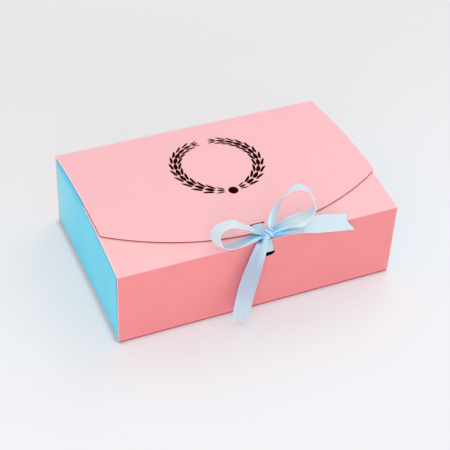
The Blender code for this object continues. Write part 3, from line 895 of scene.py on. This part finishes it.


# Each strand: where it starts on the knot, in shares of the knot's half sizes, and its reach. Its rows give a
# place in shares of the reach, the way across in shares of the ribbon's width, and then its painted shade, how
# shaded and how deep blue it is, if at all. ridge: a lengthwise fold that fades in a share of the length, with
# painted light on one side of it. spot: a painted dark shadow on a fold.
strands = {
    "ribbon_left_bow_loop": {
        "node": "ribbon_left_loop",
        "body": "lid",
        "held": "gathered",
        "restsOn": [],
        "start": (-1.05, 0.0, 0.57),
        "reach": 0.045,
        "rows": (
            (-0.003, -0.008, -0.01, 0.1, 0.35, -0.04, 0.0, 0.7),
            (-0.07, -0.012, 0.015, 0.11, 0.39, -0.04, 0.0, 0.45),
            (-0.222, 0.022, 0.109, 0.2, 0.61, -0.19, 0.0, 0.08),
            (-0.346, 0.067, 0.189, 0.28, 0.86, -0.42, 0.1),
            (-0.508, 0.115, 0.261, 0.24, 0.93, -0.26, 0.08),
            (-0.679, 0.122, 0.271, -0.13, 0.94, -0.31, 0.05),
            (-0.839, 0.067, 0.248, -0.32, 0.83, -0.46, 0.1),
            (-0.913, -0.011, 0.193, -0.24, 0.74, -0.63, 0.2),
            (-0.913, -0.078, 0.108, -0.1, 0.83, -0.55, 0.15),
            (-0.853, -0.118, 0.023, -0.1, 0.87, -0.48, 0.1),
            (-0.716, -0.127, -0.024, -0.05, 0.89, -0.46),
            (-0.538, -0.122, -0.022, -0.02, 0.89, -0.46, 0.0, 0.1),
            (-0.345, -0.104, 0.004, -0.05, 0.76, -0.41, 0.0, 0.2),
            (-0.183, -0.072, 0.007, -0.09, 0.54, -0.25, 0.0, 0.45),
            (-0.073, -0.042, -0.014, -0.07, 0.31, -0.1, 0.0, 0.8),
            (0.0, -0.027, -0.039, -0.05, 0.27, -0.07, 0.0, 0.9),
        ),
    },
    "ribbon_right_bow_loop": {
        "node": "ribbon_right_loop",
        "body": "lid",
        "held": "gathered",
        "restsOn": [],
        "start": (1.05, -0.32, 0.3),
        "reach": 0.045,
        "rows": (
            (0.0, 0.0, 0.0, -0.04, -0.38, 0.06, 0.0, 0.75),
            (0.058, -0.006, 0.046, -0.08, -0.45, 0.08, 0.0, 0.7),
            (0.202, -0.017, 0.121, 0.30, -0.85, 0.35, 0.0, 0.35),
            (0.459, -0.032, 0.17, 0.1, -0.99, -0.04),
            (0.69, 0.016, 0.223, 0.0, -0.93, 0.37, 0.0, 0.05),
            (0.801, 0.064, 0.271, -0.19, -0.81, 0.55),
            (0.827, 0.12, 0.36, -0.44, -0.67, 0.59),
            (0.799, 0.18, 0.479, -0.44, -0.69, 0.57),
            (0.722, 0.255, 0.563, -0.45, -0.75, 0.48),
            (0.599, 0.325, 0.593, -0.35, -0.86, 0.39),
            (0.429, 0.342, 0.527, -0.25, -0.8, 0.56, 0.1),
            (0.242, 0.284, 0.407, -0.46, -0.56, 0.69, 0.35),
            (0.11, 0.202, 0.25, -0.54, -0.41, 0.63, 0.3),
            (0.018, 0.097, 0.124, -0.42, -0.16, 0.34, 0.1, 0.15),
            (0.0, 0.047, 0.04, -0.27, -0.08, 0.25, 0.0, 0.45),
        ),
    },
    "ribbon_right_bow_tail": {
        "node": "ribbon_right_tail",
        "body": "lid",
        "held": "hung",
        "restsOn": ["lid_panel"],
        "start": (1.05, -0.22, -0.2),
        "reach": 0.071,
        "rows": (
            (0.0, 0.0, 0.0, -0.03, -0.4, 0.12, 0.0, 0.8),
            (0.137, -0.009, 0.023, -0.04, -0.78, 0.17, 0.0, 0.4),
            (0.306, -0.013, 0.025, -0.02, -1.0, 0.0, 0.15, 0.06),
            (0.501, -0.021, 0.006, 0.0, -0.93, -0.37, 0.2),
            (0.7, -0.029, -0.022, -0.03, -0.86, -0.51, 0.22),
            (0.958, -0.044, -0.065, 0.03, -0.93, -0.38, 0.24, 0.02),
        ),
    },
    "ribbon_front_bow_tail": {
        "node": "ribbon_front_tail",
        "body": "front_tail",
        "held": "hung",
        "restsOn": [],
        "ridge": {"side": -0.2, "height": 0.0012, "fade": 0.4, "soft": 0.3},
        "spot": {"side": 1.0, "across": 0.9, "along": 0.004, "depth": 1.4},
        "start": (-1.17, -1.43, 0.0),
        "reach": 0.0754,
        "rows": (
            (-0.003, 0.031, 0.022, -0.2, -0.07, 0.03, 0.0, 0.35),
            (-0.027, 0.004, -0.02, -0.48, -0.17, 0.2, 0.3, 0.2),
            (-0.057, -0.005, -0.13, -0.81, -0.2, 0.31, 0.75, 0.1),
            (-0.106, -0.027, -0.262, -0.93, -0.06, 0.36, 1.0),
            (-0.157, -0.049, -0.403, -0.94, 0.13, 0.31, 1.0),
            (-0.211, -0.073, -0.566, -0.95, 0.17, 0.25, 0.9),
            (-0.257, -0.099, -0.753, -0.98, 0.09, 0.2, 0.62),
            (-0.337, -0.187, -0.938, -0.87, 0.04, 0.49, 0.3),
        ),
    },
}


# The two strands that run into the box. Places in x, shares of the ribbon's width, and the painted shaded and
# deep blue tones are each spread evenly along the strand.
holeStrand = {
    "node": "ribbon_inner_run",
    "body": "cover",
    "held": "folded",
    "restsOn": ["tray_front_wall"],
    "clearance": 0.0002,
    "steps": 14,
    "foldRise": 0.0025,
    "places": (box["slitX"], box["slitX"], 0.0035, 0.0038, 0.0038, 0.0038, 0.0039, knotPlace[0]),
    "shares": (0.8, 0.85, 0.85, 0.85, 0.8, 0.72, 0.6, 0.3),
    "tones": ((0.5,), (0.0, 0.0, 0.0, 0.05, 0.3)),
}
slitStrand = {
    "node": "ribbon_lid_strand",
    "body": "lid",
    "held": "gathered",
    "restsOn": ["lid_panel"],
    "clearance": 0.00025,
    "steps": 12,
    "bendRadius": 0.00035,
    "places": (knotPlace[0] - 0.001, 0.0024, 0.0018, 0.0018),
    "shares": (0.34, 0.42, 0.48, 0.5),
    "tones": ((0.1, 0.4, 0.3), (0.7, 0.35, 0.25, 0.25)),
}


def tuckedStrip(name, strip, path):
    # A strip on a path in y and z that is narrower than the ribbon, because both its edges are tucked under.
    path = np.array(path)
    run = runLength(path)
    even = np.linspace(0, run[-1], ribbon["tuckStations"])
    path = np.stack([np.interp(even, run, column) for column in path.T], axis=1)

    def spread(values):
        return np.interp(even / run[-1], np.linspace(0, 1, len(values)), values)

    radius = ribbon["tuckRadius"]
    heading = unit(np.gradient(path, axis=0))
    places, shares, tones = spread(strip["places"]), spread(strip["shares"]), map(spread, strip["tones"])
    stations = zip(even, places, *path.T, *heading.T, shares, *tones)
    surface = []
    spots = []
    shades = []
    for place, x, y, z, alongY, alongZ, share, shaded, deep in stations:
        top = halfRibbon * share - radius
        turnEnd = top + math.pi * radius
        spans = zip((0, top, turnEnd), (top, turnEnd, halfRibbon), ribbon["tuckPoints"])
        parts = [np.linspace(start, end, count) for start, end, count in spans]
        outward = np.concatenate([parts[0], parts[1][1:], parts[2][1:]])
        turn = np.clip((outward - top) / radius, 0, math.pi)
        back = np.maximum(outward - turnEnd, 0) * min(1.0, (top - radius) / (halfRibbon - turnEnd))
        across = np.minimum(outward, top) + radius * np.sin(turn) - back
        across = np.concatenate([-across[:0:-1], across])
        lift = radius * np.cos(np.concatenate([turn[:0:-1], turn]))
        surface.append(np.stack([x + across, y - lift * alongZ, z + lift * alongY], axis=1))
        flat = np.concatenate([-outward[:0:-1], outward])
        spots.append(np.stack([flat, np.full(len(flat), place)], axis=1))
        shades.append(np.full((len(flat), 3), [shaded, deep, 0.0]))
    satinSheet(name, strip, np.array(surface), np.array(spots), np.array(shades))


def easedPath(start, end, steps, ease):
    # From start almost to end, evenly in y, with z eased.
    path = []
    for share in np.linspace(0, 1, steps)[:-1]:
        y = start[0] + (end[0] - start[0]) * share
        path.append((y, start[1] + (end[1] - start[1]) * ease(share)))
    return path


def makeHoleStrand():
    # From under the slit over the tray's wall, down, out through the oval hole and up to the knot.
    wallY = halfDepth - tray["sideInset"]
    topZ = box["height"] - tray["topDrop"]
    turnRadius = (creaseY - wallY) / 2
    downY = wallY + turnRadius
    upY = halfDepth + turnRadius
    foldZ = holeZ + holeStrand["foldRise"]
    startZ = flapHeight(slitY) - 2 * card - gap - holeStrand["clearance"]
    bend = arc((-wallY, topZ), turnRadius, 90, 180, 10)
    path = easedPath((slitY, startZ), bend[0], holeStrand["steps"], lambda share: share * share * (3 - 2 * share))
    path += bend
    path += [(-downY, topZ + (foldZ - topZ) * share) for share in (0.33, 0.66)]
    path += arc((-(downY + upY) / 2, foldZ), (upY - downY) / 2, 0, -180, 12)
    rise = knotPlace[2] - knotHalf[2] - foldZ
    path += [(-upY - turnRadius * share**3, foldZ + rise * share) for share in np.linspace(0, 1, 9)[1:]]
    tuckedStrip("ribbon_hole_strand", holeStrand, path)


def makeSlitStrand():
    # From the knot over the lid and down through the slit.
    radius = slitStrand["bendRadius"]
    cornerZ = lidHeight(slitY) + slitStrand["clearance"]
    startY = knotPlace[1] + knotHalf[1] + gap
    startZ = knotPlace[2] - knotHalf[2] / 4
    bend = arc((slitY - box["slitWidth"] / 2, cornerZ - radius), radius, 90, 0, 8)
    path = easedPath((startY, startZ), bend[0], slitStrand["steps"], lambda share: share * (2 - share))
    path += bend
    endZ = flapHeight(slitY) - 2 * card
    path += [(bend[-1][0], cornerZ + (endZ - cornerZ) * share) for share in (0.5, 1.0)]
    tuckedStrip("ribbon_slit_strand", slitStrand, path)


makeHoleStrand()
makeSlitStrand()
for strandName, strand in strands.items():
    makeStrand(strandName, strand)


# The knot: the ribbon wrapped once round at a slant, with soft folds that run round it, and painted shade in the
# folds and at its left end.
knot = {
    "rings": 61,
    "around": 96,
    "half": (0.0057, 0.0044, 0.0042),
    "tilt": 0.52,
    "folds": 3.1,
    "foldDepth": 0.0010,
    "power": 0.42,
    "sway": (0.22, 0.6, 0.1),        # how the folds wander as they run round
    "endFrom": 0.6,                  # share of the half length from which the left end is in shade
    "endShaded": 0.3,
    "endDark": 0.75,
    "deep": 0.34,
    "foldDeep": 0.9,
    "foldDark": 0.35,
    "weld": 1e-7,
}


def makeKnot():
    half = knot["half"]
    share = -np.cos(np.linspace(0, math.pi, knot["rings"]))[:, None]
    turn = np.linspace(0, 2 * math.pi, knot["around"], endpoint=False)
    swell = np.maximum(1 - np.abs(share) ** 3, 0.0) ** knot["power"]
    sway, phase, ripple = knot["sway"]
    shift = sway * np.sin(turn + phase) + ripple * np.sin(2 * turn)
    ridge = np.abs(np.sin(math.pi * knot["folds"] * (share + shift) / 2))
    radius = swell * (1 - knot["foldDepth"] * (1 - ridge) / half[2])
    across = share * half[0]
    toFront = radius * np.cos(turn) * half[1]
    upward = radius * np.sin(turn) * half[2]
    slanted = across * math.cos(knot["tilt"]) - upward * math.sin(knot["tilt"])
    raised = across * math.sin(knot["tilt"]) + upward * math.cos(knot["tilt"])
    points = knotPlace + np.stack([slanted, toFront, raised], axis=2)
    corners = np.stack(np.broadcast_arrays(share * halfRibbon, turn * half[2]), axis=2)
    # Painted shade: the left end shaded and dark, and the bottoms of the folds deep blue and dark.
    end = np.maximum(-share - knot["endFrom"], 0.0) / (1 - knot["endFrom"])
    deep = np.minimum(knot["deep"] + knot["foldDeep"] * (1 - ridge) ** 2, 1.0)
    dark = knot["endDark"] * end + knot["foldDark"] * np.maximum(1 - 3 * ridge, 0.0)
    shades = np.stack(np.broadcast_arrays(knot["endShaded"] * end, deep, dark), axis=2)
    grid = np.arange(share.size * turn.size).reshape(share.size, turn.size)
    onward = np.roll(grid, -1, axis=1)
    faces = np.stack([grid[:-1], onward[:-1], onward[1:], grid[1:]], axis=2).reshape(-1, 4).tolist()
    points, corners, shades = (values.reshape(grid.size, -1) for values in (points, corners, shades))
    piece = newPiece("ribbon_wrapped_knot", points, faces, [satinFace], None, corners, shades)
    finishMesh(piece.data, knot["weld"])
    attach(piece, "lid")
    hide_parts("ribbon_knot")


makeKnot()
print("ribbon is built")


# The printed wreath: two laurel branches that grow from a dot and follow the lid's arch.
wreath = {
    "centre": (0.00042, 0.01583),
    "radius": 0.0345,
    "stretch": 1.022,        # of the ring, from front to back
    "count": 12,
    "left": (-17.6, -169.6, 0.025),      # first and last sprig in degrees, and how much they crowd onwards
    "right": (14.8, 164.6, 0.036),
    "endScale": 0.72,
    "endSpan": 0.1,          # share of a branch in which its sprigs get smaller
    "slender": 0.85,         # width of the leaves in the sprigs near the ends
    "slenderAt": (0.05, 0.78),       # shares of a branch before and after which they are slender
    "leastReach": 0.00003,
    "lift": 0.00003,
    "thickness": 0.00004,
    "dotPlace": (-0.0002, -0.0208),
    "dotRadius": 0.0042,
    "dotSteps": 40,
    "ink": (0.012, 0.0004, 0.0008, 1.0),
    "wornInk": (0.03, 0.0012, 0.002, 1.0),
    # Centre lines of the leaves in mm, as places along and away from the branch, with their half widths.
    "middleLeaf": (
        (-4.4, 0.0, 0.25), (-3.4, 0.0, 1.2), (-1.7, 0.0, 1.7), (0.2, 0.0, 1.75),
        (2.1, 0.0, 1.35), (3.5, 0.0, 0.75), (4.4, 0.0, 0.15),
    ),
    "sideLeaf": (
        (-4.6, 2.45, 0.3), (-3.5, 2.7, 0.8), (-1.9, 3.05, 1.05), (-0.2, 3.45, 1.12),
        (1.5, 3.9, 1.08), (2.8, 4.35, 0.9), (3.9, 4.85, 0.55), (4.8, 5.45, 0.1),
    ),
}


def makeInk():
    material, tree, shader = newMaterial("darkInk")
    grain = useGroup(tree, cardGrain, {"Vector": objectPlace(tree)[0], "Mottle Scale": 120.0, "Amount": 1.5})
    setInputs(shader, {
        "Base Color": blend(ramp(grain["Tone"], 0.15, 0.85), wreath["ink"], wreath["wornInk"]),
        "Roughness": minus(grain["Roughness"], 0.05),
        "Specular IOR Level": 0.0,
        "Normal": bump(grain["Height"], 0.1, 0.00005),
    })
    return material


darkInk = makeInk()


def makeLeafSprig(name, widthShare):
    # One sprig of three leaves, growing along x.
    points = []
    faces = []
    for line, mirror in (("middleLeaf", 1), ("sideLeaf", 1), ("sideLeaf", -1)):
        rows = smoothCurve(wreath[line], 3) * 0.001
        heading = unit(np.gradient(rows[:, :2], axis=0))
        reaches = np.maximum(rows[:, 2:] * widthShare, wreath["leastReach"])
        across = np.stack([-heading[:, 1], heading[:, 0]], axis=1) * reaches
        low = len(points)
        for centre, reach in zip(rows[:, :2], across):
            for x, y in (centre - reach, centre, centre + reach):
                points.append((x, y * mirror, 0.0))
        for first in range(low, len(points) - 3):
            if (first - low) % 3 < 2:
                faces.append([first, first + 3, first + 4, first + 1][::mirror])
    return addObject(name, newMesh(name, points, faces))


def geometryNode(tree, kind, inputs=None):
    return addNode(tree, "GeometryNode" + kind, inputs).outputs


def makeWreathTree():
    tree = bpy.data.node_groups.new("laurelBranches", "GeometryNodeTree")
    sockets = {
        "Object": ("Sprig", "Slender Sprig", "Surface"),
        "Vector": ("Centre",),
        "Float": ("Radius", "Stretch", "Start", "End", "Turn", "Crowd", "End Scale", "Lift"),
        "Int": ("Count",),
        "Material": ("Ink",),
    }
    for kind, labels in sockets.items():
        for label in labels:
            tree.interface.new_socket(label, in_out="INPUT", socket_type="NodeSocket" + kind)
    tree.interface.new_socket("Geometry", in_out="OUTPUT", socket_type="NodeSocketGeometry")
    given = addNode(tree, "NodeGroupInput").outputs
    share = calc("DIVIDE", geometryNode(tree, "InputIndex")[0], minus(given["Count"], 1.0))
    onward = times(calc("SINE", times(share, math.pi)), given["Crowd"])
    angle = times(plus(share, onward), minus(given["End"], given["Start"]), given["Start"])
    x = times(calc("SINE", angle), given["Radius"])
    y = times(calc("COSINE", angle), times(given["Radius"], times(given["Stretch"], -1.0)))
    ring = calcVector("ADD", combine(tree, X=x, Y=y), given["Centre"])
    points = geometryNode(tree, "Points", {"Count": given["Count"], "Position": ring})[0]
    nearEnd = calc("MINIMUM", share, minus(1.0, share))
    sizes = {"Value": nearEnd, "From Max": wreath["endSpan"], "To Min": given["End Scale"]}
    scale = shaderNode(tree, "MapRange", sizes).outputs[0]
    turned = combine(tree, Z=plus(angle, given["Turn"]))
    before, after = wreath["slenderAt"]
    atEnd = calc("MAXIMUM", calc("LESS_THAN", share, before), calc("GREATER_THAN", share, after))
    joined = addNode(tree, "GeometryNodeJoinGeometry")
    for label, chosen in (("Sprig", minus(1.0, atEnd)), ("Slender Sprig", atEnd)):
        sprig = geometryNode(tree, "ObjectInfo", {"Object": given[label]})["Geometry"]
        inputs = {"Points": points, "Selection": chosen, "Instance": sprig}
        grown = geometryNode(tree, "InstanceOnPoints", {**inputs, "Rotation": turned, "Scale": scale})
        tree.links.new(grown[0], joined.inputs[0])
    real = geometryNode(tree, "RealizeInstances", {"Geometry": joined.outputs[0]})[0]
    surface = geometryNode(tree, "ObjectInfo", {"Object": given["Surface"]})["Geometry"]
    down = {"Target Geometry": surface, "Ray Direction": (0.0, 0.0, -1.0)}
    hit = geometryNode(tree, "Raycast", down)["Hit Position"]
    onLid = calcVector("ADD", hit, combine(tree, Z=given["Lift"]))
    settled = geometryNode(tree, "SetPosition", {"Geometry": real, "Position": onLid})[0]
    inked = geometryNode(tree, "SetMaterial", {"Geometry": settled, "Material": given["Ink"]})[0]
    setInputs(addNode(tree, "NodeGroupOutput"), {"Geometry": inked})
    return tree


def growBranch(name, tree, sprigs, span, turn):
    branch = addObject(name, bpy.data.meshes.new(name))
    grow = branch.modifiers.new("grow", "NODES")
    grow.node_group = tree
    values = {
        "Sprig": sprigs[0],
        "Slender Sprig": sprigs[1],
        "Surface": lidPanel,
        "Centre": (*wreath["centre"], box["height"] * 1.5),
        "Radius": wreath["radius"],
        "Count": wreath["count"],
        "Stretch": wreath["stretch"],
        "Start": math.radians(span[0]),
        "End": math.radians(span[1]),
        "Turn": turn,
        "Crowd": span[2],
        "End Scale": wreath["endScale"],
        "Lift": wreath["lift"],
        "Ink": darkInk,
    }
    for item in tree.interface.items_tree:
        if item.in_out == "INPUT":
            grow[item.identifier] = values[item.name]
    thicken = branch.modifiers.new("thicken", "SOLIDIFY")
    thicken.thickness = wreath["thickness"]
    thicken.offset = 1.0
    finished(branch)
    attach(branch, "lid")


def makeDot():
    steps = wreath["dotSteps"]
    disc = [(0.0, 0.0)]
    for ring in (0.35, 0.7, 1.0):
        disc += arc((0.0, 0.0), ring, 0, 360, steps)[:-1]
    x, y = (wreath["dotPlace"] + wreath["dotRadius"] * np.array(disc)).T
    low = np.stack([x, y, lidHeight(y) + wreath["lift"]], axis=1)
    top = low + np.array([0.0, 0.0, wreath["thickness"]])
    count = len(disc)
    faces = []
    for first in range(1, steps + 1):
        second = first % steps + 1
        faces.append((0, first, second))
        for inner, outer in ((0, steps), (steps, 2 * steps)):
            faces.append((inner + first, outer + first, outer + second, inner + second))
    faces += [tuple(corner + count for corner in reversed(face)) for face in faces]
    rim = list(range(count - steps, count))
    for first, second in zip(rim, rim[1:] + rim[:1]):
        faces.append((first, first + count, second + count, second))
    dot = newPiece("wreath_dot", np.concatenate([top, low]), faces, [darkInk])
    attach(dot, "lid")


def makeWreath():
    sprigs = [makeLeafSprig("leafSprig", 1.0), makeLeafSprig("slenderSprig", wreath["slender"])]
    tree = makeWreathTree()
    growBranch("wreath_left_branch", tree, sprigs, wreath["left"], math.pi)
    growBranch("wreath_right_branch", tree, sprigs, wreath["right"], 0.0)
    for sprig in sprigs:
        bpy.data.objects.remove(sprig, do_unlink=True)
    makeDot()


makeWreath()
print("wreath is printed")


# Floor, light and camera.
studio = {
    "floorNear": (0.895, 0.90, 0.93, 1.0),
    "floorFar": (0.80, 0.80, 0.81, 1.0),
    "floorFade": (-0.15, 0.35),
    "floorSeen": 0.42,       # how much of the floor's paleness is its own in the picture
    "floorDrop": 0.00005,
    "cloudScale": 2.0,
    "cloudAmount": 0.05,
    "roughness": 0.85,
    # The shadow where the box stands: from how open the floor is there to how dark it gets.
    "contactReach": 0.009,
    "contact": (0.5, 0.97, 1.0, 0.0),
    "contactPower": 1.7,
    "frontCore": (0.2, 0.70, 0.93, 0.0),
    "frontRim": (0.5, 0.97, 0.07, 0.0),
    # What the shadow leaves of the floor's colour beside the blue end, and under the pink front.
    "contactSide": (0.41, 0.48, 0.58, 1.0),
    "contactFront": (0.50, 0.09, 0.10, 1.0),
    "leftward": (-0.126, -0.112, 1.0, 0.0),
    "floorSize": 8.0,
    "worldLevel": 0.82,
    "worldSeen": 0.86,
    "lampSize": 1.2,
    "aim": (0.0, 0.0, 0.03),
    "lamps": {"key": ((1.0, 0.8, 1.5), 7.5), "fill": ((-0.8, -1.6, 0.6), 9.0)},      # place and power
    "lens": 96.316,
    "azimuth": -0.431173,
    "elevation": 0.711833,
    "roll": 0.050156,
    "offset": (-0.016487, -0.069171, -4.33279),
}


def makeFloor():
    size = studio["floorSize"] / 2
    corners = [(x * size, y * size, 0.0) for x, y in ((-1, -1), (1, -1), (1, 1), (-1, 1))]
    mesh = newMesh("floor", corners, [(0, 1, 2, 3)])
    floor = addObject("floor", mesh)
    floor.location.z = -studio["floorDrop"]
    material, tree, shader = newMaterial("floorPaper")
    place, x, y, _ = objectPlace(tree)
    cloud = noise(place, studio["cloudScale"])
    far = ramp(times(cloud, studio["cloudAmount"], y), *studio["floorFade"])
    paper = blend(far, studio["floorNear"], studio["floorFar"])
    clear = openness(tree, studio["contactReach"], 16)
    leftward = ramp(x, *studio["leftward"])
    beside = calc("POWER", ramp(clear, *studio["contact"]), studio["contactPower"])
    atFront = plus(ramp(clear, *studio["frontCore"]), ramp(clear, *studio["frontRim"]))
    near = times(beside, leftward, times(atFront, minus(1.0, leftward)))
    tint = blend(leftward, studio["contactFront"], studio["contactSide"])
    base = calcVector("MULTIPLY", paper, blend(near, (1.0, 1.0, 1.0, 1.0), tint))
    roughness = times(cloud, studio["cloudAmount"], studio["roughness"])
    setInputs(shader, {"Base Color": base, "Roughness": roughness, "Specular IOR Level": 0.1})
    # In the picture the floor is partly its own pale light, so that it takes less colour from the box.
    rays = shaderNode(tree, "LightPath").outputs
    mirrored = calc("MAXIMUM", rays["Is Glossy Ray"], rays["Is Transmission Ray"])
    seen = times(calc("MAXIMUM", rays["Is Camera Ray"], mirrored), studio["floorSeen"])
    glow = shaderNode(tree, "Emission", {"Color": base, "Strength": 1.0}).outputs[0]
    mixed = shaderNode(tree, "MixShader", {0: seen, 1: shader.outputs[0], 2: glow}).outputs[0]
    setInputs(tree.nodes["Material Output"], {"Surface": mixed})
    mesh.materials.append(material)


def placed(right, upward, back, place):
    return Matrix([*np.column_stack([right, upward, back, place]).tolist(), (0, 0, 0, 1)])


def makeLight():
    world = bpy.data.worlds.new("studio")
    bpy.context.scene.world = world
    world.use_nodes = True
    seen = shaderNode(world.node_tree, "LightPath").outputs["Is Camera Ray"]
    level = ramp(seen, 0.0, 1.0, studio["worldLevel"], studio["worldSeen"])
    setInputs(world.node_tree.nodes["Background"], {"Color": (1.0, 1.0, 1.0, 1.0), "Strength": level})
    for name, (place, power) in studio["lamps"].items():
        lamp = bpy.data.lights.new(name, "AREA")
        lamp.energy = power
        lamp.size = studio["lampSize"]
        back = unit(np.array(place) - np.array(studio["aim"]))
        right = unit(np.cross((0.0, 0.0, 1.0), back))
        addObject(name, lamp).matrix_world = placed(right, np.cross(back, right), back, place)


def makeCamera():
    azimuth, elevation, roll = studio["azimuth"], studio["elevation"], studio["roll"]
    flat = math.cos(elevation)
    back = np.array([math.sin(azimuth) * flat, -math.cos(azimuth) * flat, math.sin(elevation)])
    right = np.array([math.cos(azimuth), math.sin(azimuth), 0.0])
    upward = np.cross(back, right)
    right, upward = (
        math.cos(roll) * right + math.sin(roll) * upward,
        math.cos(roll) * upward - math.sin(roll) * right,
    )
    eye = -np.column_stack([right, upward, back]) @ np.array(studio["offset"]) * box["length"]
    data = bpy.data.cameras.new("camera")
    data.lens = studio["lens"]
    data.clip_start = 0.01
    camera = addObject("camera", data)
    camera.matrix_world = placed(right, upward, back, eye)
    bpy.context.scene.camera = camera


makeFloor()
makeLight()
makeCamera()
bpy.context.scene.view_settings.view_transform = "Standard"
print("studio is set")
